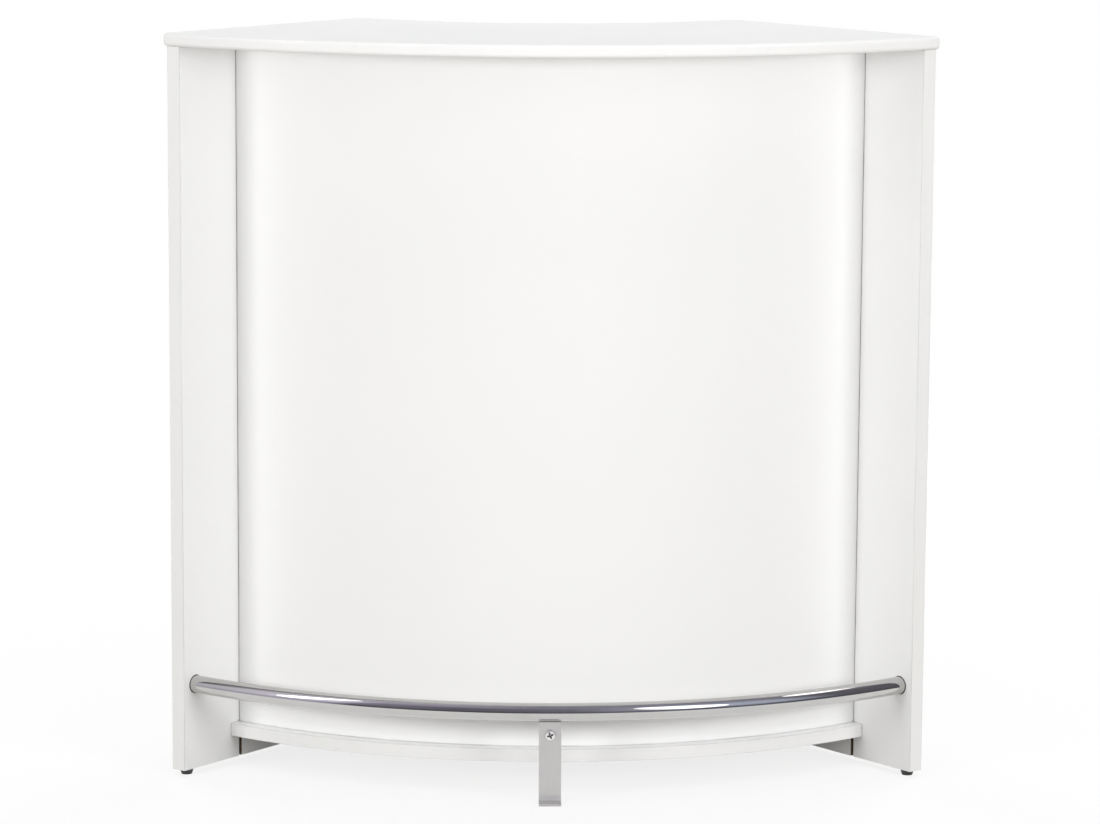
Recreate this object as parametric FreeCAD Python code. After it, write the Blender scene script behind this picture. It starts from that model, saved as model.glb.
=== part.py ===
import FreeCAD, Part
import math
import os

os.makedirs("parts", exist_ok=True)

# A curved bar counter. Seen from above it is a slice of a ring: its front is an arc that bulges
# towards the guest, and its two side panels point at the arc's centre, behind the barkeeper.
# Sizes are millimetres and degrees. +Z is up, the guest stands at -Y, and the origin is on
# the floor, in the middle of the counter's width and depth.

# Overall form
counter_height = 1050.0
half_angle = 38.0  # from the middle plane to each side panel
side_front_radius = 835.0  # from the arc's centre to the side panels' front edges
side_depth = 405.0  # side panel, front edge to back edge
foot_gap = 8.0  # from the floor to the side panels

# Boards
board = 18.0  # top, shelf and bottom
side_board = 22.0
sheet = 5.0  # bent front panel
band = 1.0  # edge bands

# Top
top_overhang = 5.5  # past the side panels, at the front and the sides
top_back_overhang = 20.0
top_front_corner = 7.0  # corner radii, seen from above
top_back_corner = 30.0
edging_width = 6.0  # lipping all round the top
edging_round = 5.0  # its upper and lower edge radius

# Front panel and its grooves
front_recess = 118.0  # behind the side panels' front edges
side_groove_depth = 8.0
board_groove_depth = 6.0  # in the top and the bottom
groove_play = 0.5  # at the ends of the sheet
groove_gap = 0.6  # in front of the sheet, which rests on the groove's back

# Bottom and shelf
bottom_recess = 100.0  # front edge, behind the side panels' front edges
bottom_rise = 33.0  # underside, above the side panels' lower edge
shelf_height = 540.0  # underside, above the floor
shelf_back_recess = 30.0
shelf_play = 0.3  # to the front panel

# Foot rail
rail_diameter = 25.0
rail_wall = 1.5
rail_recess = 25.0  # axis, behind the side panels' front edges
rail_height = 130.0  # axis, above the floor
rail_bore_depth = 12.0  # in the side panels
rail_bore_play = 0.9  # round the tube
rail_end_play = 0.5  # tube end to bore bottom
plug_length = 24.0
plug_play = 0.2
rail_bolt_diameter = 6.0
rail_bolt_length = 24.0
rail_bolt_head = 12.0
rail_bolt_head_height = 3.0
rail_cap_diameter = 14.0
rail_cap_height = 1.5
rail_cap_proud = 0.5

# Rail leg, its tab and its screw
leg_width = 31.0
leg_thickness = 3.0
leg_setback = 6.0  # front face, behind the rail's axis
leg_bend = 8.0  # outer radius of the foot's bend
leg_foot_length = 20.0  # ahead of the front face
leg_toe_round = 1.0
leg_edge_round = 0.5
leg_top_gap = 3.0  # below the rail's lowest line
tab_width = 30.0
tab_thickness = 3.0
tab_length = 40.0
tab_drop = 4.0  # upper end, below the rail's axis
leg_screw_drop = 34.0  # screw axis, below the rail's axis
leg_screw_diameter = 6.0
leg_screw_head = 14.0
leg_screw_head_height = 3.6
leg_screw_length = 16.0
leg_slot_play = 0.4
leg_slot_travel = 4.0
leg_screw_recess = (9.0, 2.3, 2.4)  # cross recess: across, width of an arm and depth
leg_screw_turn = 20.0  # of the recess, anticlockwise to the guest
nut_width = 10.0  # across the flats
nut_sides = 6
nut_height = 5.0

# Cam fittings and dowels between the boards and the side panels
cam_diameter = 15.0
cam_height = 13.5
cam_play = 0.5  # above the cam
cam_reach = 24.0  # board's edge to the cam's axis
cam_bolt_diameter = 7.0
cam_bolt_entry = 11.0  # into the drilled face
cam_bolt_bore = 8.0  # in the board's edge
cam_recess = (6.0, 1.4, 1.8)
cam_cap_diameter = 17.0
cam_cap_height = 1.2
dowel_diameter = 8.0
dowel_length = 30.0
dowel_entry = 12.0  # into the drilled face
cam_place_shares = (0.2, 0.8)  # of the way from the side panel's back edge to the front panel
dowel_place_shares = (0.35, 0.65)

# Levelling feet
pad_top_diameter = 20.0
pad_sole_diameter = 15.0
pad_play = 0.3  # to the side panel and round the stem's flange
pad_floor = 2.4  # under the stem's flange
pad_front_inset = 17.0  # foot axis, behind the side panel's front edge
pad_back_inset = 25.0  # foot axis, ahead of the side panel's back edge
stem_diameter = 8.0
stem_length = 34.0
stem_flange_diameter = 12.0
stem_flange_height = 2.0
stem_play = 0.1  # in the insert
insert_diameter = 11.0
insert_length = 20.0
stem_bore_play = 0.5  # in the board, above the insert

overrun = 5.0  # past a face that a cut goes through

# Worked out from the sizes above
RIGHT_ANGLE = 90.0
sin_half = math.sin(math.radians(half_angle))
cos_half = math.cos(math.radians(half_angle))
side_back_radius = side_front_radius - side_depth
top_underside = counter_height - board
top_front_radius = side_front_radius + top_overhang
top_back_radius = side_back_radius - top_back_overhang
top_side_out = side_board + top_overhang
sheet_face_radius = side_front_radius - front_recess
sheet_back_radius = sheet_face_radius - sheet
bottom_front_radius = side_front_radius - bottom_recess
bottom_underside = foot_gap + bottom_rise
bottom_upper = bottom_underside + board
shelf_back_radius = side_back_radius + shelf_back_recess
shelf_front_radius = sheet_back_radius - shelf_play
rail_radius = side_front_radius - rail_recess
rail_half = rail_diameter / 2
fitting_span = sheet_back_radius - side_back_radius
cam_places = [side_back_radius + share * fitting_span for share in cam_place_shares]
dowel_places = [side_back_radius + share * fitting_span for share in dowel_place_shares]
foot_places = (side_front_radius - pad_front_inset, side_back_radius + pad_back_inset)

# The top's rearmost point lies on its rounded back corner and settles where the arc's centre is
corner_out = top_side_out - top_back_corner
corner_along = math.sqrt((top_back_radius + top_back_corner) ** 2 - corner_out**2)
corner_behind = corner_out * sin_half + top_back_corner - corner_along * cos_half
arc_centre_y = (top_front_radius - corner_behind) / 2

ORIGIN = FreeCAD.Vector(0, 0, 0)
SIDEWAYS = FreeCAD.Vector(1, 0, 0)
OUTWARDS = FreeCAD.Vector(0, 1, 0)
UP = FreeCAD.Vector(0, 0, 1)


def save(name, *solids):
    """Writes one node, a single solid or a group of like solids."""
    shape = solids[0] if len(solids) == 1 else Part.makeCompound(solids)
    shape.exportStep(f"parts/{name}.step")


def plan_point(side, along, out, height=0):
    """Point along a side panel's inner face and out from it. side is -1 for left, 1 for right."""
    x = side * (along * sin_half + out * cos_half)
    y = arc_centre_y - along * cos_half + out * sin_half
    return FreeCAD.Vector(x, y, height)


def on_arc(side, radius, out, height):
    """Where an arc round the centre meets a line parallel to a side panel."""
    return plan_point(side, math.sqrt(radius**2 - out**2), out, height)


def on_middle(radius, height):
    """Point of an arc on the middle plane."""
    return FreeCAD.Vector(0, arc_centre_y - radius, height)


def slice_of_ring(front_radius, back_radius, out, low, high):
    """Solid between two arcs whose ends lie a distance out from the side panels' inner faces."""
    front_left = on_arc(-1, front_radius, out, low)
    front_right = on_arc(1, front_radius, out, low)
    back_left = on_arc(-1, back_radius, out, low)
    back_right = on_arc(1, back_radius, out, low)
    edges = [
        Part.Arc(front_left, on_middle(front_radius, low), front_right).toShape(),
        Part.LineSegment(front_right, back_right).toShape(),
        Part.Arc(back_right, on_middle(back_radius, low), back_left).toShape(),
        Part.LineSegment(back_left, front_left).toShape(),
    ]
    return Part.Face(Part.Wire(edges)).extrude(UP * (high - low))


def upright_edges(solid, points):
    """Edges of a flat board that stand on the given points, seen from above."""
    near = board / 2
    found = []
    for edge in solid.Edges:
        middle = edge.valueAt((edge.FirstParameter + edge.LastParameter) / 2)
        for point in points:
            level = FreeCAD.Vector(point.x, point.y, middle.z)
            upright = edge.BoundBox.ZLength > near
            if upright and middle.distanceToPoint(level) < near:
                found.append(edge)
    return found


def rounded_slice(front_radius, back_radius, out, front_corner, back_corner, low, high):
    """Slice of a ring with its four upright corners rounded."""
    solid = slice_of_ring(front_radius, back_radius, out, low, high)
    for radius, corner in ((front_radius, front_corner), (back_radius, back_corner)):
        points = [on_arc(side, radius, out, low) for side in (-1, 1)]
        solid = solid.makeFillet(corner, upright_edges(solid, points))
    return solid


def level_edges(solid, heights):
    """Edges that lie flat at one of the heights."""
    near = band / 10
    found = []
    for edge in solid.Edges:
        box = edge.BoundBox
        for height in heights:
            if abs(box.ZMin - height) < near and abs(box.ZMax - height) < near:
                found.append(edge)
    return found


def block(along, out, up):
    """Box given by its low and high limits along, out from and up a side panel."""
    size = [high - low for low, high in (along, out, up)]
    return Part.makeBox(*size, FreeCAD.Vector(along[0], out[0], up[0]))


def rod(diameter, start, end):
    """Cylinder from one point to another."""
    line = end - start
    return Part.makeCylinder(diameter / 2, line.Length, start, line)


def at_right(shape):
    """Turns a shape drawn along, out from and up the side panel to the right-hand panel's place."""
    placed = shape.copy()
    placed.rotate(ORIGIN, UP, half_angle - RIGHT_ANGLE)
    placed.translate(FreeCAD.Vector(0, arc_centre_y, 0))
    return placed


def at_left(shape):
    """The mirror image of a shape at the right-hand side panel."""
    return at_right(shape).mirror(ORIGIN, SIDEWAYS)


def at_both(shapes):
    """Each shape at the right-hand and at the left-hand side panel."""
    return [place(shape) for shape in shapes for place in (at_right, at_left)]


def cut_all(solid, tools):
    """The solid without the space of the tools."""
    return solid.cut(Part.makeCompound(tools))


def cam_fitting(along, edge, inwards, face, face_normal):
    """Cam, bolt, cap and bores of one joint, drawn at the side panel.

    edge is the point where the bolt crosses from one board into the other, inwards the
    direction from there to the cam, face the board's face that the cam is set in, seen from
    the bolt's axis, and face_normal points out of that face.
    """
    axis = edge + inwards * cam_reach
    mouth = axis + face_normal * face
    cam = rod(cam_diameter, mouth, mouth - face_normal * cam_height)
    bolt = rod(cam_bolt_diameter, edge - inwards * cam_bolt_entry, axis)
    slot = rod(cam_bolt_bore, edge, axis)
    across, arm, depth = cam_recess
    cross = block((-across / 2, across / 2), (-arm / 2, arm / 2), (-depth, 0))
    cross = cross.fuse(cross.copy().rotate(ORIGIN, UP, RIGHT_ANGLE))
    cross.Placement = FreeCAD.Placement(mouth, FreeCAD.Rotation(UP, face_normal))
    pocket_end = mouth - face_normal * (cam_height + cam_play)
    return {
        "cam": cut_all(cam, [slot, cross]),
        "bolt": bolt,
        "cap": rod(cam_cap_diameter, mouth, mouth + face_normal * cam_cap_height),
        "pocket": rod(cam_diameter, pocket_end, mouth + face_normal * overrun),
        "edge_bore": rod(cam_bolt_bore, edge - inwards * overrun, axis),
        "face_bore": rod(cam_bolt_diameter, edge - inwards * cam_bolt_entry, edge),
    }


def level_board_fittings(underside):
    """Cams and dowels that hold a level board of standard thickness between the side panels."""
    middle = underside + board / 2
    cams = []
    for along in cam_places:
        edge = FreeCAD.Vector(along, 0, middle)
        cams.append(cam_fitting(along, edge, -OUTWARDS, board / 2, -UP))
    dowels = []
    for along in dowel_places:
        start = FreeCAD.Vector(along, dowel_entry - dowel_length, middle)
        dowels.append(rod(dowel_diameter, start, start + OUTWARDS * dowel_length))
    return cams, dowels


def top_fittings():
    """Cams in the side panels' inner faces, and dowels, that hold the top."""
    middle = side_board / 2
    cams = []
    for along in cam_places:
        edge = FreeCAD.Vector(along, middle, top_underside)
        cams.append(cam_fitting(along, edge, -UP, middle, -OUTWARDS))
    dowels = []
    for along in dowel_places:
        start = FreeCAD.Vector(along, middle, top_underside + dowel_entry - dowel_length)
        dowels.append(rod(dowel_diameter, start, start + UP * dowel_length))
    return cams, dowels


def picked(cams, name):
    """One kind of piece or bore of each fitting in a list."""
    return [cam[name] for cam in cams]


bottom_cams, bottom_dowels = level_board_fittings(bottom_underside)
shelf_cams, shelf_dowels = level_board_fittings(shelf_height)
top_cams, top_dowels = top_fittings()


def front_panel_groove(low, high, out):
    """Groove that takes the bent front panel, a little wider than the sheet at its front."""
    return slice_of_ring(sheet_face_radius + groove_gap, sheet_back_radius, out, low, high)


def make_top():
    """Worktop board and the rounded lipping round it."""
    outer = rounded_slice(
        top_front_radius,
        top_back_radius,
        top_side_out,
        top_front_corner,
        top_back_corner,
        top_underside,
        counter_height,
    )
    outer = outer.makeFillet(edging_round, level_edges(outer, (top_underside, counter_height)))
    core = rounded_slice(
        top_front_radius - edging_width,
        top_back_radius + edging_width,
        top_side_out - edging_width,
        top_front_corner - edging_width,
        top_back_corner - edging_width,
        top_underside,
        counter_height,
    )
    save("top_edging", outer.cut(core))
    groove = front_panel_groove(
        top_underside - overrun, top_underside + board_groove_depth, side_groove_depth
    )
    bores = picked(top_cams, "face_bore") + top_dowels
    save("top_board", cut_all(core, [groove] + at_both(bores)))


def rail_bore():
    """Blind hole in the side panel that takes the end of the foot rail."""
    start = FreeCAD.Vector(rail_radius, -overrun, rail_height)
    end = FreeCAD.Vector(rail_radius, rail_bore_depth, rail_height)
    return rod(rail_diameter + 2 * rail_bore_play, start, end)


def rail_bolt_pieces():
    """Countersunk bolt from the side panel's outer face into the rail's plug, and its cap."""
    cap_seat = side_board - rail_cap_height + rail_cap_proud
    head_top = FreeCAD.Vector(rail_radius, cap_seat, rail_height)
    head_end = head_top - OUTWARDS * rail_bolt_head_height
    head = Part.makeCone(
        rail_bolt_head / 2,
        rail_bolt_diameter / 2,
        rail_bolt_head_height,
        head_top,
        -OUTWARDS,
    )
    shank = rod(rail_bolt_diameter, head_end, head_top - OUTWARDS * rail_bolt_length)
    cap = rod(rail_cap_diameter, head_top, head_top + OUTWARDS * rail_cap_height)
    return head.fuse(shank), cap


def foot_axis_point(along, height):
    """Point on a levelling foot's axis, in the middle of the side board."""
    return FreeCAD.Vector(along, side_board / 2, height)


def foot_bores():
    """Holes in the side panel's lower edge for the feet's inserts and stems."""
    bores = []
    stem_bore = stem_diameter + 2 * stem_bore_play
    for along in foot_places:
        low = foot_axis_point(along, foot_gap - overrun)
        bores.append(rod(insert_diameter, low, foot_axis_point(along, foot_gap + insert_length)))
        stem_end = foot_axis_point(along, pad_floor + stem_length + overrun)
        bores.append(rod(stem_bore, low, stem_end))
    return bores


def make_side_panels():
    """The two side panels, their edge bands and the caps over the rail's bolts."""
    levels = (foot_gap, top_underside)
    thickness = (0, side_board)
    panel = block((side_back_radius + band, side_front_radius - band), thickness, levels)
    front_band = block((side_front_radius - band, side_front_radius), thickness, levels)
    back_band = block((side_back_radius, side_back_radius + band), thickness, levels)
    bolt, cap = rail_bolt_pieces()
    tools = [rail_bore(), bolt, cap] + foot_bores()
    for cams in (bottom_cams, shelf_cams):
        tools += picked(cams, "face_bore")
    tools += picked(top_cams, "pocket") + picked(top_cams, "edge_bore")
    tools += bottom_dowels + shelf_dowels + top_dowels
    groove = front_panel_groove(foot_gap - overrun, counter_height, side_groove_depth)
    for name, place in (("left", at_left), ("right", at_right)):
        placed_tools = [place(tool) for tool in tools]
        save(f"side_panel_{name}", cut_all(place(panel), placed_tools + [groove]))
        save(f"side_front_band_{name}", place(front_band))
        save(f"side_back_band_{name}", place(back_band))


def make_front_panel():
    """Thin bent sheet, slid down the side panels' grooves into the bottom's groove."""
    low = bottom_upper - board_groove_depth
    high = top_underside + board_groove_depth - groove_play
    out = side_groove_depth - groove_play
    save("front_panel", slice_of_ring(sheet_face_radius, sheet_back_radius, out, low, high))


def make_level_board(name, front_radius, back_radius, underside, cams, dowels, groove):
    """Board between the side panels, drilled for its fittings, with its back edge band."""
    upper = underside + board
    solid = slice_of_ring(front_radius, back_radius + band, 0, underside, upper)
    bores = picked(cams, "pocket") + picked(cams, "edge_bore") + dowels
    save(f"{name}_board", cut_all(solid, at_both(bores) + groove))
    back = slice_of_ring(back_radius + band, back_radius, 0, underside, upper)
    save(f"{name}_back_band", back)


def make_bottom_and_shelf():
    """Bottom with its groove and front edge band, and the shelf at half height."""
    groove_floor = bottom_upper - board_groove_depth
    groove = front_panel_groove(groove_floor, bottom_upper + overrun, side_board)
    front = bottom_front_radius - band
    make_level_board(
        "bottom", front, side_back_radius, bottom_underside, bottom_cams, bottom_dowels, [groove]
    )
    front_band = slice_of_ring(bottom_front_radius, front, 0, bottom_underside, bottom_upper)
    save("bottom_front_band", front_band)
    make_level_board(
        "shelf", shelf_front_radius, shelf_back_radius, shelf_height, shelf_cams, shelf_dowels, []
    )


def rail_solid(radius, half_sweep):
    """Round bar bent along the rail's arc. half_sweep is from the middle plane to each end."""
    centre = FreeCAD.Vector(0, arc_centre_y - rail_radius, rail_height)
    circle = Part.Wire(Part.Circle(centre, SIDEWAYS, radius).toShape())
    face = Part.Face(circle)
    axis_point = FreeCAD.Vector(0, arc_centre_y, 0)
    face.rotate(axis_point, UP, -half_sweep)
    return face.revolve(axis_point, UP, 2 * half_sweep)


def make_rail():
    """Chromed tube between the side panels, its end plugs, bolts and caps."""
    entry = rail_bore_depth - rail_end_play
    half_sweep = half_angle + math.degrees(math.asin(entry / rail_radius))
    bore_radius = rail_half - rail_wall
    outer = rail_solid(rail_half, half_sweep)
    save("foot_rail", outer.cut(rail_solid(bore_radius, half_sweep)))
    bolt, cap = rail_bolt_pieces()
    plug_end = FreeCAD.Vector(rail_radius, rail_bore_depth, rail_height)
    plug = rod(2 * (bore_radius - plug_play), plug_end - OUTWARDS * plug_length, plug_end)
    save("rail_end_plugs", *at_both([plug.cut(bolt)]))
    save("rail_end_bolts", *at_both([bolt]))
    save("rail_bolt_caps", *at_both([cap]))
    return outer


def on_leg(back, height):
    """Point on the middle plane, a distance behind the leg's front face."""
    return FreeCAD.Vector(0, arc_centre_y - rail_radius + leg_setback + back, height)


def leg_profile():
    """Side outline of the leg: upright bar, bend and a foot towards the guest, as a closed wire."""
    top = rail_height - rail_half - leg_top_gap
    inner_bend = leg_bend - leg_thickness
    turn = 1 - math.sqrt(2) / 2
    toe = -leg_foot_length
    bend_front = on_leg(0, leg_bend)
    bend_top = on_leg(-inner_bend, leg_thickness)
    bend_foot = on_leg(-inner_bend, 0)
    bend_back = on_leg(leg_thickness, leg_bend)
    inner_middle = on_leg(-inner_bend * turn, leg_thickness + inner_bend * turn)
    outer_middle = on_leg(leg_thickness - leg_bend * turn, leg_bend * turn)
    toe_top = on_leg(toe + leg_toe_round, leg_thickness)
    toe_middle = on_leg(toe + leg_toe_round * turn, leg_thickness - leg_toe_round * turn)
    toe_front = on_leg(toe, leg_thickness - leg_toe_round)
    edges = [
        Part.LineSegment(on_leg(0, top), bend_front).toShape(),
        Part.Arc(bend_front, inner_middle, bend_top).toShape(),
        Part.LineSegment(bend_top, toe_top).toShape(),
        Part.Arc(toe_top, toe_middle, toe_front).toShape(),
        Part.LineSegment(toe_front, on_leg(toe, 0)).toShape(),
        Part.LineSegment(on_leg(toe, 0), bend_foot).toShape(),
        Part.Arc(bend_foot, outer_middle, bend_back).toShape(),
        Part.LineSegment(bend_back, on_leg(leg_thickness, top)).toShape(),
        Part.LineSegment(on_leg(leg_thickness, top), on_leg(0, top)).toShape(),
    ]
    return Part.Wire(edges)


def cross_recess(at):
    """Cross-shaped recess in a screw head whose outer face is at a point and faces the guest."""
    across, arm, depth = leg_screw_recess
    corner = at - FreeCAD.Vector(across / 2, 0, arm / 2)
    bar = Part.makeBox(across, depth, arm, corner)
    upright = bar.copy()
    upright.rotate(at, OUTWARDS, RIGHT_ANGLE)
    cross = bar.fuse(upright)
    cross.rotate(at, OUTWARDS, -leg_screw_turn)
    return cross


def make_leg(rail_outer):
    """Bent flat bar from the floor to the rail, with the tab, screw and nut that hold it."""
    half_width = leg_width / 2
    leg = Part.Face(leg_profile()).extrude(SIDEWAYS * leg_width)
    leg.translate(-SIDEWAYS * half_width)
    outline = [edge for edge in leg.Edges if edge.BoundBox.XLength < leg_edge_round]
    leg = leg.makeFillet(leg_edge_round, outline)
    screw_height = rail_height - leg_screw_drop
    front = on_leg(0, screw_height)
    slot_diameter = leg_screw_diameter + 2 * leg_slot_play
    slots = [
        rod(slot_diameter, point - OUTWARDS * overrun, point + OUTWARDS * 2 * overrun)
        for point in (front - UP * leg_slot_travel / 2, front + UP * leg_slot_travel / 2)
    ]
    slot_middle = Part.makeBox(
        slot_diameter,
        leg_thickness + 2 * overrun,
        leg_slot_travel,
        front + FreeCAD.Vector(-slot_diameter / 2, -overrun, -leg_slot_travel / 2),
    )
    save("rail_leg", cut_all(leg, slots + [slot_middle]))

    head_face = front - OUTWARDS * leg_screw_head_height
    head = rod(leg_screw_head, head_face, front)
    rim = min(head.Edges, key=lambda edge: edge.CenterOfMass.y)
    head = head.makeFillet(leg_screw_head_height / 2, [rim])
    shank = rod(leg_screw_diameter, front, front + OUTWARDS * leg_screw_length)
    save("leg_screw", head.fuse(shank).cut(cross_recess(head_face)))

    tab_front = on_leg(leg_thickness, rail_height - tab_drop - tab_length)
    tab = Part.makeBox(
        tab_width,
        tab_thickness,
        tab_length,
        tab_front - SIDEWAYS * tab_width / 2,
    )
    save("rail_tab", cut_all(tab, [rail_outer, shank]))

    nut_start = on_leg(leg_thickness + tab_thickness, screw_height)
    corner_radius = nut_width / 2 / math.cos(math.pi / nut_sides)
    corners = []
    for corner in range(nut_sides + 1):
        turn = 2 * math.pi * corner / nut_sides
        offset = FreeCAD.Vector(corner_radius * math.cos(turn), 0, corner_radius * math.sin(turn))
        corners.append(nut_start + offset)
    nut = Part.Face(Part.makePolygon(corners)).extrude(OUTWARDS * nut_height)
    save("leg_nut", nut.cut(shank))


def make_fittings():
    """Cams, bolts, caps and dowels, one node for each kind at each board."""
    groups = (
        ("bottom", bottom_cams, bottom_dowels),
        ("shelf", shelf_cams, shelf_dowels),
        ("top", top_cams, top_dowels),
    )
    for name, cams, dowels in groups:
        save(f"{name}_cams", *at_both(picked(cams, "cam")))
        save(f"{name}_cam_bolts", *at_both(picked(cams, "bolt")))
        save(f"{name}_cam_caps", *at_both(picked(cams, "cap")))
        save(f"{name}_dowels", *at_both(dowels))


def make_feet():
    """Levelling feet: a pad on the floor, a threaded stem that turns in it and an insert."""
    inserts = []
    pad_top = foot_gap - pad_play
    flange_top = pad_floor + stem_flange_height
    for row, along in zip(("front", "back"), foot_places):
        pad = Part.makeCone(
            pad_sole_diameter / 2, pad_top_diameter / 2, pad_top, foot_axis_point(along, 0), UP
        )
        socket = rod(
            stem_flange_diameter + 2 * pad_play,
            foot_axis_point(along, pad_floor - pad_play),
            foot_axis_point(along, flange_top + pad_play),
        )
        neck = rod(
            stem_diameter + 2 * pad_play,
            foot_axis_point(along, flange_top),
            foot_axis_point(along, pad_top + overrun),
        )
        pad = cut_all(pad, [socket, neck])
        flange = rod(
            stem_flange_diameter, foot_axis_point(along, pad_floor), foot_axis_point(along, flange_top)
        )
        stem_end = foot_axis_point(along, pad_floor + stem_length)
        stem = flange.fuse(rod(stem_diameter, foot_axis_point(along, flange_top), stem_end))
        insert = rod(
            insert_diameter,
            foot_axis_point(along, foot_gap),
            foot_axis_point(along, foot_gap + insert_length),
        )
        bore = rod(
            stem_diameter + 2 * stem_play,
            foot_axis_point(along, 0),
            foot_axis_point(along, counter_height),
        )
        inserts.append(insert.cut(bore))
        for side, place in (("left", at_left), ("right", at_right)):
            save(f"foot_pad_{row}_{side}", place(pad))
            save(f"foot_stem_{row}_{side}", place(stem))
    save("foot_inserts", *at_both(inserts))


make_top()
make_side_panels()
make_front_panel()
make_bottom_and_shelf()
rail_outer = make_rail()
make_leg(rail_outer)
make_fittings()
make_feet()
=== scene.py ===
"""Looks of the bar counter: materials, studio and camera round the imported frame."""
import math

import bpy
from mathutils import Matrix, Vector


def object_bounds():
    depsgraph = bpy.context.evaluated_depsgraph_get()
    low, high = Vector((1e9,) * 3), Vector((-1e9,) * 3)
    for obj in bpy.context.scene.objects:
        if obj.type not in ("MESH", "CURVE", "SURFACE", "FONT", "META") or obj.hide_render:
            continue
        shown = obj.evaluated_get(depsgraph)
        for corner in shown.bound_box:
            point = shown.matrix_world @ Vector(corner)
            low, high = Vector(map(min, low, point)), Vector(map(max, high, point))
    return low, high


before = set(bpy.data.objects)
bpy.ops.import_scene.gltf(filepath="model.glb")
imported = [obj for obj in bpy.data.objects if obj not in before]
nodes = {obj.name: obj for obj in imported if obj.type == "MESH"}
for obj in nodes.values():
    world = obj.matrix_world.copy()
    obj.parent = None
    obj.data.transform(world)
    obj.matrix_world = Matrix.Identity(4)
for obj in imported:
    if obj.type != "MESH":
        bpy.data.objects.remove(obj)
cad_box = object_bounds()

low, high = cad_box
middle = (low + high) / 2
height = high.z - low.z

# Camera, at the photograph's place: metres, degrees and millimetres
CAMERA_PLACE = (-0.1186, -5.9235, 1.4612)
CAMERA_TURN = -1.161
CAMERA_TILT = 9.106
CAMERA_ROLL = 0.360
CAMERA_LENS = 138.6
CAMERA_SENSOR = 36.0
CAMERA_REACH = 200.0

# Lamps: name, turn and rise in degrees from straight ahead, distance, width and height in metres,
# watts, and whether mirrors show it
LAMPS = (
    ("key_left", -57, 30, 3.9, 0.7, 2.9, 11, True),
    ("key_right", 32, 26, 4.05, 1.35, 2.75, 18, True),
    ("key_side", 102, 51, 4.0, 2.0, 0.7, 8, True),
    ("front_middle", 0, 10, 3.2, 4.4, 1.2, 27.5, False),
    ("front_left", -50, 9, 4.5, 1.6, 0.8, 69, False),
    ("front_right", 50, 9, 4.5, 1.6, 0.8, 71, False),
    ("above", 0, 84, 3.2, 2.4, 2.4, 25, False),
    ("back_left", -140, 24, 4.2, 2.4, 1.4, 80, False),
    ("back_right", 140, 24, 4.2, 2.4, 1.4, 80, False),
)

# World and floor. The floor is darker for the light that it throws back than for the eye.
SKY_LEVEL = 0.20
WHITE_LEVEL = 1.0
FLOOR_TONE = (0.30, 0.285, 0.255, 1)
FLOOR_SEEN_TONE = (0.90, 0.90, 0.90, 1)
FLOOR_REACH = 60.0
FLOOR_WHITE_NEAR = 0.80
FLOOR_WHITE_FAR = 1.0

# Painted reflection for the chrome: a glowing dome from just outside the object, seen only in
# mirrors, with grey levels, bright patches where soft boxes would hang, and tints by the turn in
# degrees from straight ahead
ROOM_RADIUS = 9.0
ROOM_TURN = 150.0
ROOM_FLOOR_END = (1.15, 0.004)
ROOM_RISE = (2, 89)
ROOM_COLUMNS = 72
ROOM_ROWS = 16
LOW_TO_MID = (0.06, 0.34)  # heights over the radius where one ramp gives way to the next
MID_TO_HIGH = (0.62, 0.84)
LOW_ROOM = (
    (-150, 0.50), (-78, 0.62), (-50, 0.56), (-41, 0.12), (-10, 0.11), (26, 0.22), (35, 0.10),
    (44, 0.20), (56, 0.12), (150, 0.12),
)
MID_ROOM = (
    (-150, 0.30), (-86, 0.20), (-79, 0.78), (-66, 0.85), (-60, 1.00), (-46, 0.95), (-41, 0.32),
    (-20, 0.18), (6, 0.24), (22, 0.50), (43, 0.70), (54, 0.66), (66, 0.17), (150, 0.10),
)
HIGH_ROOM = (
    (-150, 0.50), (-95, 0.30), (-80, 0.75), (-50, 0.52), (0, 0.34), (60, 0.40), (85, 0.28),
    (110, 0.50),
)
ROOM_TINTS = (
    (-90, (1.0, 0.97, 1.04)), (-40, (1.0, 0.93, 1.16)), (20, (0.96, 0.95, 1.16)),
    (50, (0.86, 0.93, 1.16)), (75, (1.0, 0.96, 1.12)),
)

# Painted shade in the narrow corners where pieces meet; the grey also colours the edging's glue
# line
CORNER_SHADE_REACH = 0.004
GLUE_AND_CORNER_SHADE_GREY = (0.40, 0.39, 0.375, 1)
CORNER_SHADE_DARK = (0.10, 0.097, 0.093, 1)


def add(tree, kind, **settings):
    """A new node with these settings."""
    made = tree.nodes.new(kind)
    for name, value in settings.items():
        setattr(made, name, value)
    return made


def put(node, **values):
    """Values on a node's own sockets, whose names have spaces for underscores."""
    for name, value in values.items():
        node.inputs[name.replace("_", " ")].default_value = value


def grey(level, alpha=1.0):
    """A neutral colour."""
    return (level, level, level, alpha)


def place_in_object(tree, stretch=(1.0, 1.0, 1.0)):
    """Coordinates in metres on the object, stretched along its axes."""
    source = add(tree, "ShaderNodeTexCoord")
    mapping = add(tree, "ShaderNodeMapping")
    put(mapping, Scale=stretch)
    tree.links.new(source.outputs["Object"], mapping.inputs["Vector"])
    return mapping.outputs["Vector"]


def noise(tree, place, scale, detail=2.0, roughness=0.5, distortion=0.0):
    """Soft random values between 0 and 1, scale of them to the metre."""
    made = add(tree, "ShaderNodeTexNoise")
    put(made, Scale=scale, Detail=detail, Roughness=roughness, Distortion=distortion)
    tree.links.new(place, made.inputs["Vector"])
    return made.outputs["Fac"]


def spread(tree, value, start, end, to_start, to_end):
    """The value's range from start to end, stretched to another one and held inside it."""
    made = add(tree, "ShaderNodeMapRange", clamp=True)
    put(made, From_Min=start, From_Max=end, To_Min=to_start, To_Max=to_end)
    tree.links.new(value, made.inputs["Value"])
    return made.outputs["Result"]


def share(tree, value, start, end):
    """0 up to the start, 1 from the end on."""
    return spread(tree, value, start, end, 0.0, 1.0)


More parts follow.
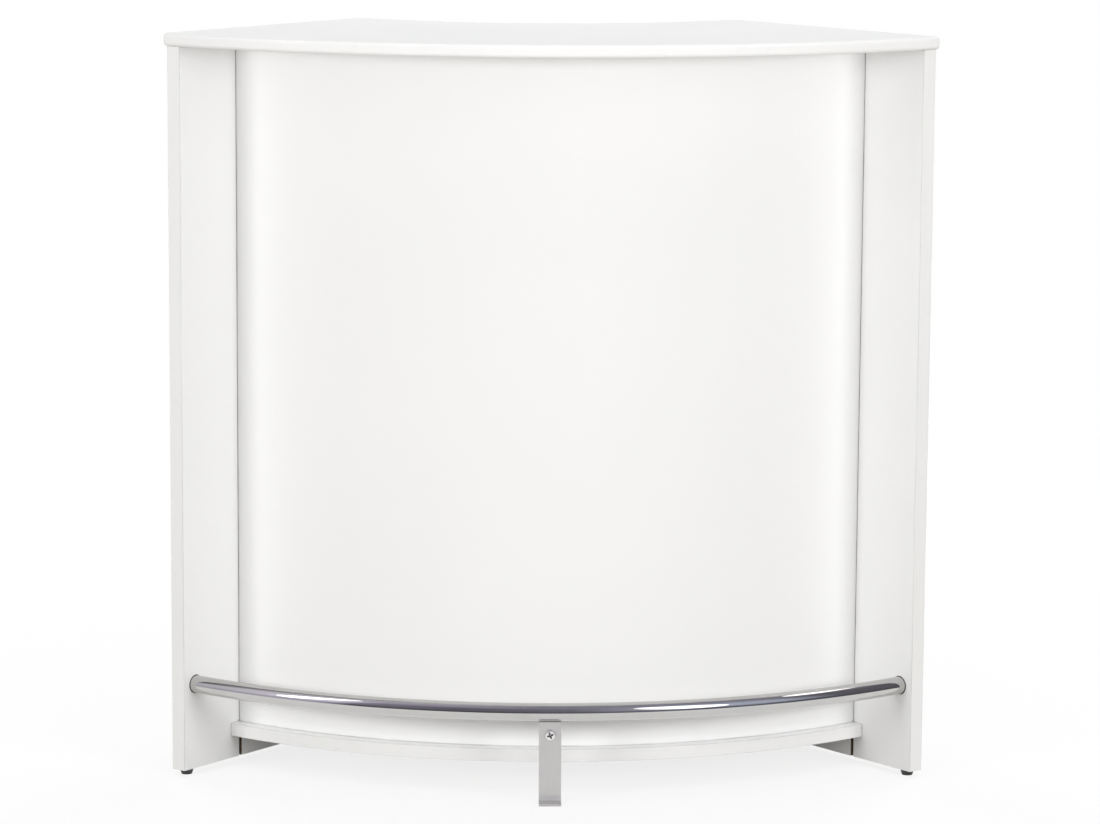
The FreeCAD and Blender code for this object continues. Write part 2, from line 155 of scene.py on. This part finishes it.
def times(tree, first, second):
    """Two values multiplied."""
    made = add(tree, "ShaderNodeMath", operation="MULTIPLY")
    tree.links.new(first, made.inputs[0])
    tree.links.new(second, made.inputs[1])
    return made.outputs["Value"]


def larger(tree, first, second):
    """The larger of two values."""
    made = add(tree, "ShaderNodeMath", operation="MAXIMUM")
    tree.links.new(first, made.inputs[0])
    tree.links.new(second, made.inputs[1])
    return made.outputs["Value"]


def mix(tree, factor, first, second):
    """A colour between two, each a colour or a node's output."""
    made = add(tree, "ShaderNodeMix", data_type="RGBA")
    tree.links.new(factor, made.inputs["Factor"])
    for socket, colour in ((made.inputs[6], first), (made.inputs[7], second)):
        if isinstance(colour, tuple):
            socket.default_value = colour
        else:
            tree.links.new(colour, socket)
    return made.outputs[2]


def bump(tree, value, depth, strength, under=None):
    """Surface relief of this depth in metres, on top of another one."""
    made = add(tree, "ShaderNodeBump")
    put(made, Strength=strength, Distance=depth)
    tree.links.new(value, made.inputs["Height"])
    if under:
        tree.links.new(under, made.inputs["Normal"])
    return made.outputs["Normal"]


def edge_share(tree, radius):
    """Near 1 at the edges of the shape, 0 on its faces."""
    rounded = add(tree, "ShaderNodeBevel", samples=4)
    put(rounded, Radius=radius)
    surface = add(tree, "ShaderNodeNewGeometry")
    facing = add(tree, "ShaderNodeVectorMath", operation="DOT_PRODUCT")
    tree.links.new(rounded.outputs["Normal"], facing.inputs[0])
    tree.links.new(surface.outputs["Normal"], facing.inputs[1])
    return spread(tree, facing.outputs["Value"], 0.80, 0.99, 1.0, 0.0)


def hollow_share(tree, reach):
    """Near 1 in the shape's own narrow grooves and bores, 0 on its open faces."""
    shade = add(tree, "ShaderNodeAmbientOcclusion", samples=6, only_local=True)
    put(shade, Distance=reach)
    return spread(tree, shade.outputs["AO"], 0.66, 0.90, 1.0, 0.0)


def corner_shade_share(tree, place):
    """Painted shade: near 1 in the narrow corners where pieces meet and shade falls, broken up a
    little along them.
    """
    shade = add(tree, "ShaderNodeAmbientOcclusion", samples=8)
    put(shade, Distance=CORNER_SHADE_REACH)
    deep = spread(tree, shade.outputs["AO"], 0.50, 0.74, 1.0, 0.0)
    return times(tree, deep, spread(tree, noise(tree, place, 24.0, 3.0), 0.35, 0.65, 0.40, 0.85))


def chipboard_and_groove_shade(tree, place):
    """Colours of the raw core, brown chips light and dark, darkened close to black as painted shade
    in the grooves and bores where they show.
    """
    chips = noise(tree, place, 520.0, 3.0, 0.6)
    pale = mix(tree, share(tree, chips, 0.35, 0.65), (0.10, 0.065, 0.04, 1), (0.22, 0.15, 0.09, 1))
    gaps = spread(tree, noise(tree, place, 900.0, 2.0), 0.55, 0.7, 0.0, 0.8)
    return mix(tree, gaps, pale, (0.05, 0.032, 0.02, 1))


def new_finish(slot, **values):
    """A material of this slot's name, its node tree and its surface shader."""
    made = bpy.data.materials.new(slot)
    made.use_nodes = True
    shader = made.node_tree.nodes["Principled BSDF"]
    put(shader, **values)
    return made, made.node_tree, shader


def dress(tree, shader, colour=None, roughness=None, normal=None):
    """Joins what the nodes give to the shader."""
    for source, name in ((colour, "Base Color"), (roughness, "Roughness"), (normal, "Normal")):
        if source:
            tree.links.new(source, shader.inputs[name])


def white_laminate():
    """Melamine faces: satin white with a fine pebble, duller where hands and feet rub the edges."""
    made, tree, shader = new_finish("white_laminate_board", IOR=1.5)
    place = place_in_object(tree)
    cloud = noise(tree, place, 2.2, 3.0)
    fine = noise(tree, place, 700.0, 2.0)
    clouded = share(tree, cloud, 0.35, 0.65)
    face = mix(tree, clouded, (0.905, 0.905, 0.902, 1), (0.893, 0.894, 0.894, 1))
    flecked = mix(tree, spread(tree, fine, 0.42, 0.75, 0.0, 0.35), face, (0.865, 0.866, 0.868, 1))
    touched = spread(tree, noise(tree, place, 9.0, 4.0), 0.40, 0.62, 0.10, 0.50)
    rubbed = times(tree, edge_share(tree, 0.0008), touched)
    colour = mix(tree, rubbed, flecked, (0.76, 0.755, 0.745, 1))
    # Painted shade: grey in the narrow corners where the board meets other pieces
    colour = mix(tree, corner_shade_share(tree, place), colour, GLUE_AND_CORNER_SHADE_GREY)
    # The raw core in the board's own grooves and bores, darkened as painted shade
    colour = mix(tree, hollow_share(tree, 0.014), colour, chipboard_and_groove_shade(tree, place))
    handled = noise(tree, place, 7.0, 4.0, 0.6)
    roughness = spread(tree, handled, 0.3, 0.7, 0.36, 0.46)
    pebble = bump(tree, noise(tree, place, 1500.0, 2.0), 0.00005, 0.35)
    normal = bump(tree, noise(tree, place, 60.0, 1.0), 0.00010, 0.20, pebble)
    dress(tree, shader, colour, roughness, normal)
    return made


def white_edging():
    """Plastic edging: smoother than the faces, scuffed, with a thin dull glue line at its edges."""
    made, tree, shader = new_finish("white_edging", IOR=1.5)
    place = place_in_object(tree)
    cloud = noise(tree, place, 5.0, 3.0)
    clouded = share(tree, cloud, 0.35, 0.65)
    face = mix(tree, clouded, (0.915, 0.914, 0.908, 1), (0.90, 0.90, 0.897, 1))
    scuffs = spread(tree, noise(tree, place, 55.0, 5.0, 0.65), 0.58, 0.72, 0.0, 0.45)
    glue = spread(tree, noise(tree, place, 9.0, 3.0), 0.35, 0.6, 0.45, 0.9)
    line = times(tree, edge_share(tree, 0.0012), glue)
    scuffed = mix(tree, scuffs, face, (0.86, 0.857, 0.85, 1))
    colour = mix(tree, line, scuffed, GLUE_AND_CORNER_SHADE_GREY)
    # Painted shade: grey in the narrow corners where the edging meets other pieces
    colour = mix(tree, corner_shade_share(tree, place), colour, GLUE_AND_CORNER_SHADE_GREY)
    roughness = spread(tree, noise(tree, place, 30.0, 4.0), 0.3, 0.7, 0.28, 0.40)
    grain = noise(tree, place_in_object(tree, (900.0, 900.0, 900.0)), 1.0, 2.0)
    ripple = noise(tree, place, 120.0, 2.0)
    normal = bump(tree, ripple, 0.00008, 0.15, bump(tree, grain, 0.00003, 0.2))
    dress(tree, shader, colour, roughness, normal)
    return made


def chromed_tube():
    """Polished chrome, a little duller where shoes rest on it."""
    made, tree, shader = new_finish("chromed_tube", Metallic=1.0)
    place = place_in_object(tree)
    smudge = share(tree, noise(tree, place, 26.0, 5.0, 0.62), 0.48, 0.72)
    colour = mix(tree, smudge, (0.568, 0.563, 0.550, 1), (0.533, 0.528, 0.512, 1))
    hairlines = noise(tree, place_in_object(tree, (14.0, 260.0, 1800.0)), 1.0, 3.0)
    dull = spread(tree, smudge, 0.0, 1.0, 0.030, 0.075)
    ripple = bump(tree, noise(tree, place, 11.0, 1.0), 0.00060, 0.12)
    normal = bump(tree, hairlines, 0.000006, 0.12, ripple)
    dress(tree, shader, colour, dull, normal)
    return made


def satin_steel():
    """Flat steel bar, ground along its length, with duller patches."""
    made, tree, shader = new_finish("satin_steel", Metallic=0.7, Anisotropic=0.3)
    along = place_in_object(tree, (2600.0, 22.0, 22.0))
    place = place_in_object(tree)
    streaks = noise(tree, along, 1.0, 4.0, 0.6)
    streaked = share(tree, streaks, 0.3, 0.7)
    colour = mix(tree, streaked, (0.60, 0.59, 0.58, 1), (0.68, 0.67, 0.66, 1))
    rubbed = spread(tree, noise(tree, place, 240.0, 3.0), 0.4, 0.6, 0.2, 0.9)
    worn = times(tree, edge_share(tree, 0.0008), rubbed)
    colour = mix(tree, worn, colour, (0.74, 0.74, 0.735, 1))
    # Painted shade: dark in the narrow corners where the bar meets other pieces, as under the rail
    colour = mix(tree, corner_shade_share(tree, place), colour, CORNER_SHADE_DARK)
    roughness = spread(tree, noise(tree, place, 60.0, 4.0), 0.3, 0.7, 0.42, 0.54)
    normal = bump(tree, streaks, 0.000025, 0.35)
    dress(tree, shader, colour, roughness, normal)
    return made


def zinc_plated_steel():
    """Bright zinc plating with pale blue and straw patches."""
    made, tree, shader = new_finish("zinc_plated_steel", Metallic=1.0)
    place = place_in_object(tree)
    patches = share(tree, noise(tree, place, 160.0, 4.0), 0.38, 0.64)
    # Painted shade: near black in the head's recesses
    recess_shade = hollow_share(tree, 0.004)
    colour = mix(tree, patches, (0.96, 0.965, 0.97, 1), (0.97, 0.96, 0.94, 1))
    colour = mix(tree, recess_shade, colour, (0.03, 0.03, 0.028, 1))
    roughness = spread(tree, noise(tree, place, 420.0, 3.0), 0.3, 0.7, 0.34, 0.48)
    normal = bump(tree, noise(tree, place, 1800.0, 2.0), 0.00002, 0.3)
    dress(tree, shader, colour, roughness, normal)
    return made


def die_cast_zinc():
    """Cast zinc alloy, tumbled: grey, grainy and brighter on its edges."""
    made, tree, shader = new_finish("die_cast_zinc", Metallic=1.0)
    place = place_in_object(tree)
    grain = noise(tree, place, 900.0, 4.0)
    face = mix(tree, share(tree, grain, 0.3, 0.7), (0.46, 0.46, 0.475, 1), (0.58, 0.58, 0.59, 1))
    colour = mix(tree, edge_share(tree, 0.0004), face, (0.70, 0.70, 0.70, 1))
    roughness = spread(tree, noise(tree, place, 300.0, 3.0), 0.3, 0.7, 0.42, 0.6)
    normal = bump(tree, grain, 0.00006, 0.4)
    dress(tree, shader, colour, roughness, normal)
    return made


def white_plastic():
    """Moulded cover caps: satin white with a fine spark-eroded skin."""
    made, tree, shader = new_finish("white_plastic", IOR=1.46)
    place = place_in_object(tree)
    cloud = noise(tree, place, 120.0, 3.0)
    clouded = share(tree, cloud, 0.35, 0.65)
    colour = mix(tree, clouded, (0.925, 0.924, 0.915, 1), (0.90, 0.90, 0.893, 1))
    colour = mix(tree, times(tree, edge_share(tree, 0.0005), cloud), colour, (0.74, 0.735, 0.72, 1))
    roughness = spread(tree, cloud, 0.3, 0.7, 0.36, 0.48)
    normal = bump(tree, noise(tree, place, 2600.0, 2.0), 0.00003, 0.35)
    dress(tree, shader, colour, roughness, normal)
    return made


def grey_nylon():
    """Moulded nylon: matt grey with faint flow marks."""
    made, tree, shader = new_finish("grey_nylon", IOR=1.53)
    flow = noise(tree, place_in_object(tree, (90.0, 90.0, 320.0)), 1.0, 3.0, 0.5, 0.6)
    colour = mix(tree, share(tree, flow, 0.3, 0.7), (0.46, 0.46, 0.455, 1), (0.53, 0.53, 0.525, 1))
    roughness = spread(tree, flow, 0.3, 0.7, 0.50, 0.62)
    normal = bump(tree, noise(tree, place_in_object(tree), 2200.0, 2.0), 0.00004, 0.3)
    dress(tree, shader, colour, roughness, normal)
    return made


def black_plastic():
    """Moulded foot pads: black with a fine texture, greyer where the floor scuffs them."""
    made, tree, shader = new_finish("black_plastic", IOR=1.5)
    place = place_in_object(tree)
    dust = spread(tree, noise(tree, place, 420.0, 4.0), 0.45, 0.7, 0.0, 0.6)
    worn = larger(tree, dust, times(tree, edge_share(tree, 0.0008), noise(tree, place, 700.0, 2.0)))
    colour = mix(tree, worn, (0.016, 0.016, 0.017, 1), (0.055, 0.053, 0.050, 1))
    roughness = spread(tree, dust, 0.0, 0.6, 0.42, 0.62)
    normal = bump(tree, noise(tree, place, 3000.0, 2.0), 0.00005, 0.4)
    dress(tree, shader, colour, roughness, normal)
    return made


def beech():
    """Beech dowels: pale brown with short darker flecks along the grain."""
    made, tree, shader = new_finish("beech", IOR=1.5)
    grain = noise(tree, place_in_object(tree, (220.0, 220.0, 900.0)), 1.0, 4.0, 0.6, 0.4)
    specks = noise(tree, place_in_object(tree, (500.0, 500.0, 1600.0)), 1.0, 2.0)
    flecks = spread(tree, specks, 0.58, 0.68, 0.0, 0.7)
    face = mix(tree, share(tree, grain, 0.3, 0.7), (0.74, 0.57, 0.40, 1), (0.62, 0.45, 0.30, 1))
    colour = mix(tree, flecks, face, (0.42, 0.28, 0.17, 1))
    roughness = spread(tree, grain, 0.3, 0.7, 0.55, 0.7)
    normal = bump(tree, grain, 0.00008, 0.4)
    dress(tree, shader, colour, roughness, normal)
    return made


def finish_nodes():
    """Every CAD node gets the material of its own slot."""
    makers = (white_laminate, white_edging, chromed_tube, satin_steel, zinc_plated_steel)
    makers += (die_cast_zinc, white_plastic, grey_nylon, black_plastic, beech)
    plain = {place.material for node in nodes.values() for place in node.material_slots}
    for material in plain:
        material.name = "plain_" + material.name
    finishes = {finish.name: finish for finish in (maker() for maker in makers)}
    for node in nodes.values():
        for place in node.material_slots:
            place.material = finishes[place.material.name.removeprefix("plain_")]
    for material in plain:
        bpy.data.materials.remove(material)


def seen_share(tree):
    """1 for a ray from the camera, a mirror or glass, else 0."""
    path = add(tree, "ShaderNodeLightPath")
    seen = larger(tree, path.outputs["Is Camera Ray"], path.outputs["Is Glossy Ray"])
    return larger(tree, seen, path.outputs["Is Transmission Ray"])


def make_world():
    """White all round for the eye, and a plain soft light for the object."""
    world = bpy.data.worlds.new("studio_world")
    bpy.context.scene.world = world
    world.use_nodes = True
    tree = world.node_tree
    tree.nodes.clear()
    soft = add(tree, "ShaderNodeBackground")
    put(soft, Color=grey(1.0), Strength=SKY_LEVEL)
    white = add(tree, "ShaderNodeBackground")
    put(white, Color=grey(1.0), Strength=WHITE_LEVEL)
    choice = add(tree, "ShaderNodeMixShader")
    end = add(tree, "ShaderNodeOutputWorld")
    tree.links.new(seen_share(tree), choice.inputs[0])
    tree.links.new(soft.outputs[0], choice.inputs[1])
    tree.links.new(white.outputs[0], choice.inputs[2])
    tree.links.new(choice.outputs[0], end.inputs[0])


def stage_material(name):
    """A material for the studio, its node tree and the tree's end."""
    made = bpy.data.materials.new(name)
    made.use_nodes = True
    made.cycles.emission_sampling = "NONE"
    tree = made.node_tree
    tree.nodes.clear()
    return made, tree, add(tree, "ShaderNodeOutputMaterial")


def floor_material():
    """Pale floor that keeps the shadow near the object and runs out into white."""
    made, tree, end = stage_material("studio_floor")
    matt = add(tree, "ShaderNodeBsdfDiffuse")
    seen = seen_share(tree)
    tree.links.new(mix(tree, seen, FLOOR_TONE, FLOOR_SEEN_TONE), matt.inputs["Color"])
    white = add(tree, "ShaderNodeEmission")
    put(white, Color=grey(1.0), Strength=WHITE_LEVEL)
    source = add(tree, "ShaderNodeTexCoord")
    reach = add(tree, "ShaderNodeVectorMath", operation="LENGTH")
    tree.links.new(source.outputs["Object"], reach.inputs[0])
    distance = reach.outputs["Value"]
    far = spread(tree, distance, height, 3 * height, FLOOR_WHITE_NEAR, FLOOR_WHITE_FAR)
    choice = add(tree, "ShaderNodeMixShader")
    tree.links.new(times(tree, far, seen), choice.inputs[0])
    tree.links.new(matt.outputs[0], choice.inputs[1])
    tree.links.new(white.outputs[0], choice.inputs[2])
    tree.links.new(choice.outputs[0], end.inputs[0])
    return made


def mesh_piece(name, points, faces):
    """An object of these points and faces."""
    mesh = bpy.data.meshes.new(name)
    mesh.from_pydata(points, [], faces)
    mesh.update()
    made = bpy.data.objects.new(name, mesh)
    bpy.context.scene.collection.objects.link(made)
    return made


def make_floor():
    """A wide flat floor at the object's foot."""
    signs = ((-1, -1), (1, -1), (1, 1), (-1, 1))
    corners = [(across * FLOOR_REACH, along * FLOOR_REACH, low.z) for across, along in signs]
    floor = mesh_piece("studio_floor", corners, [(0, 1, 2, 3)])
    floor.data.materials.append(floor_material())


def turn_share(tree, place):
    """How far round the room a place is, from 0 at its left end to 1 at its right one."""
    split = add(tree, "ShaderNodeSeparateXYZ")
    tree.links.new(place, split.inputs[0])
    ahead = add(tree, "ShaderNodeMath", operation="MULTIPLY")
    ahead.inputs[1].default_value = -1
    tree.links.new(split.outputs["Y"], ahead.inputs[0])
    turn = add(tree, "ShaderNodeMath", operation="ARCTAN2")
    tree.links.new(split.outputs["X"], turn.inputs[0])
    tree.links.new(ahead.outputs[0], turn.inputs[1])
    widest = math.radians(ROOM_TURN)
    return share(tree, turn.outputs[0], -widest, widest)


def ramp(tree, around, stops):
    """Colours or grey levels round the room, each given with its turn in degrees."""
    made = add(tree, "ShaderNodeValToRGB")
    tree.links.new(around, made.inputs[0])
    marks = made.color_ramp.elements
    for number, (degrees, level) in enumerate(stops):
        if number >= len(marks):
            marks.new(1.0)
        marks[number].position = (degrees / ROOM_TURN + 1) / 2
        marks[number].color = (*level, 1) if isinstance(level, tuple) else grey(level)
    return made.outputs[0]


def painted_reflection_material():
    """Painted reflection: glowing levels and tints of the mirrored room, pale at the left, bluish
    at the right.
    """
    made, tree, end = stage_material("painted_reflection_room")
    place = place_in_object(tree)
    around = turn_share(tree, place)
    split = add(tree, "ShaderNodeSeparateXYZ")
    tree.links.new(place, split.inputs[0])
    rise = split.outputs["Z"]
    to_mid = share(tree, rise, *(part * ROOM_RADIUS for part in LOW_TO_MID))
    to_high = share(tree, rise, *(part * ROOM_RADIUS for part in MID_TO_HIGH))
    level = mix(tree, to_mid, ramp(tree, around, LOW_ROOM), ramp(tree, around, MID_ROOM))
    level = mix(tree, to_high, level, ramp(tree, around, HIGH_ROOM))
    tinted = add(tree, "ShaderNodeMix", data_type="RGBA", blend_type="MULTIPLY")
    tinted.inputs["Factor"].default_value = 1.0
    tree.links.new(level, tinted.inputs[6])
    tree.links.new(ramp(tree, around, ROOM_TINTS), tinted.inputs[7])
    dim = add(tree, "ShaderNodeEmission")
    tree.links.new(tinted.outputs[2], dim.inputs["Color"])
    tree.links.new(dim.outputs[0], end.inputs[0])
    return made


def make_painted_reflection_room():
    """A glowing dome in front of the object and beside it, which only mirrors see: a painted
    reflection of the studio.
    """
    half_turn = math.radians(ROOM_TURN)
    lowest, highest = (math.radians(rise) for rise in ROOM_RISE)
    outline = [ROOM_FLOOR_END]
    for row in range(ROOM_ROWS + 1):
        rise = lowest + (highest - lowest) * row / ROOM_ROWS
        outline.append((ROOM_RADIUS * math.cos(rise), ROOM_RADIUS * math.sin(rise)))
    points = []
    for reach, up in outline:
        for column in range(ROOM_COLUMNS + 1):
            turn = half_turn * (2 * column / ROOM_COLUMNS - 1)
            points.append((reach * math.sin(turn), -reach * math.cos(turn), up))
    width = ROOM_COLUMNS + 1
    faces = []
    for row in range(len(outline) - 1):
        for column in range(ROOM_COLUMNS):
            first = row * width + column
            faces.append((first, first + 1, first + width + 1, first + width))
    room = mesh_piece("painted_reflection_room", points, faces)
    room.data.materials.append(painted_reflection_material())
    room.visible_camera = False
    room.visible_diffuse = False
    room.visible_transmission = False
    room.visible_volume_scatter = False
    room.visible_shadow = False


def softbox(name, azimuth, elevation, distance, width, tall, power, mirrored):
    """A wide oval lamp that looks at the object from this direction."""
    turn = math.radians(azimuth)
    rise = math.radians(elevation)
    reach = distance * math.cos(rise)
    away = Vector((reach * math.sin(turn), -reach * math.cos(turn), distance * math.sin(rise)))
    lamp = bpy.data.lights.new(name, "AREA")
    lamp.shape = "ELLIPSE"
    lamp.size = width
    lamp.size_y = tall
    lamp.energy = power
    made = bpy.data.objects.new(name, lamp)
    made.location = middle + away
    made.rotation_euler = (-away).to_track_quat("-Z", "Y").to_euler()
    made.visible_glossy = mirrored
    bpy.context.scene.collection.objects.link(made)


def make_lights():
    """Soft boxes that the chrome mirrors, soft light from ahead, and two lamps behind."""
    for lamp in LAMPS:
        softbox(*lamp)


def make_camera():
    """The photograph's camera."""
    lens = bpy.data.cameras.new("photo_camera")
    lens.lens = CAMERA_LENS
    lens.sensor_width = CAMERA_SENSOR
    lens.sensor_fit = "HORIZONTAL"
    lens.clip_end = CAMERA_REACH
    made = bpy.data.objects.new("photo_camera", lens)
    turn = Matrix.Rotation(math.radians(CAMERA_TURN), 4, "Z")
    tilt = Matrix.Rotation(math.radians(90 - CAMERA_TILT), 4, "X")
    roll = Matrix.Rotation(math.radians(CAMERA_ROLL), 4, "Z")
    made.matrix_world = Matrix.Translation(Vector(CAMERA_PLACE)) @ turn @ tilt @ roll
    bpy.context.scene.collection.objects.link(made)
    bpy.context.scene.camera = made


finish_nodes()
make_world()
make_floor()
make_painted_reflection_room()
make_lights()
make_camera()
bpy.context.scene.view_settings.view_transform = "Standard"
